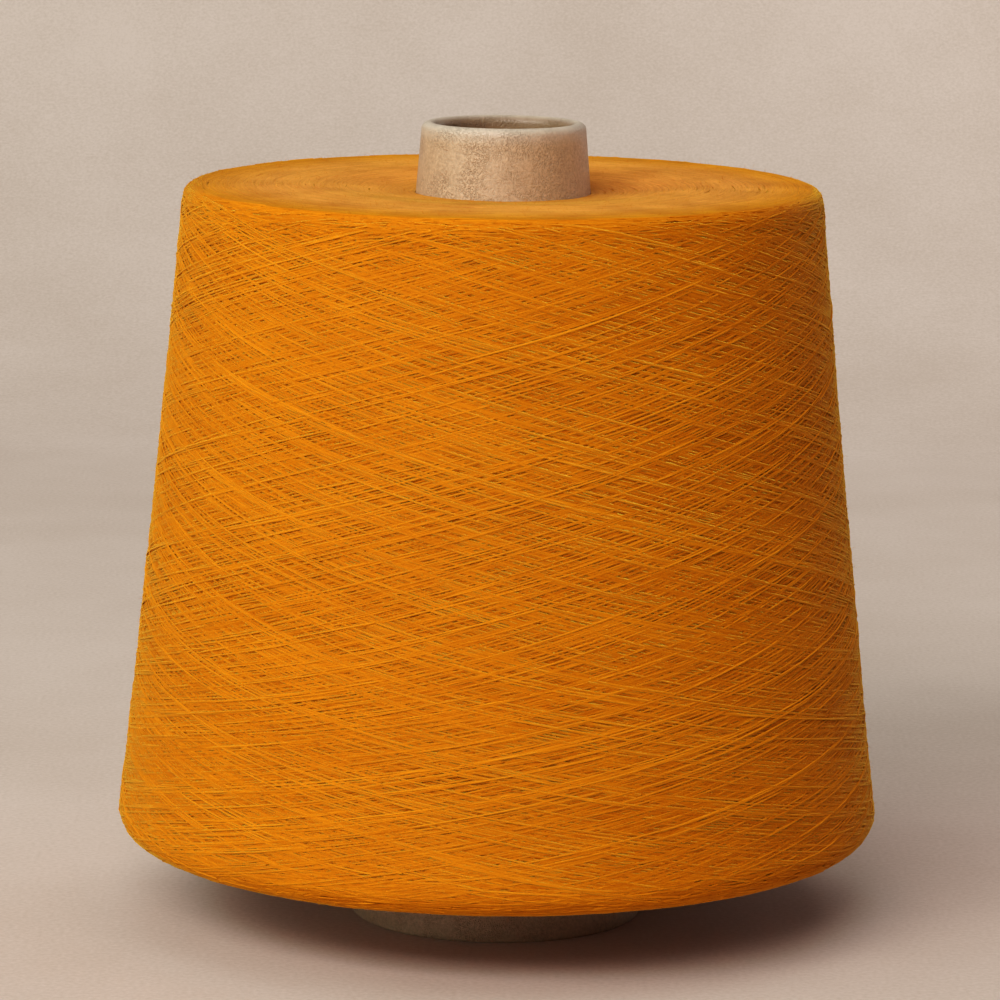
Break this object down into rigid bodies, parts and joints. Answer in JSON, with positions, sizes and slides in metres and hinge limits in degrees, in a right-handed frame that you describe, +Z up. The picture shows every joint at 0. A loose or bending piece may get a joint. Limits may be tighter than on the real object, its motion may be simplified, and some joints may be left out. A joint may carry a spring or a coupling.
{
  "type": "cone of yarn",
  "caption": "Tapered package of crosswound yarn on a hollow cardboard cone tube that stands out at both ends; it stands on its foot or hangs over a spindle.",
  "frame": {"origin": "centre of the tube's foot, on the surface that it stands on", "axes": "+Z up along the cone's axis, from the wide foot to the narrow nose; the piece is a body of revolution, so X and Y are free"},
  "size_m": [0.1622, 0.1622, 0.17],
  "materials": {
    "cardboard": "matt grey-brown pressed board, pale flecks and fibres",
    "yarn": "mustard-orange spun yarn, soft sheen along the threads, slight fuzz"
  },
  "bodies": {
    "root": {"cardboard_tube": "cardboard", "yarn_package": "yarn"}
  },
  "joints": []
}
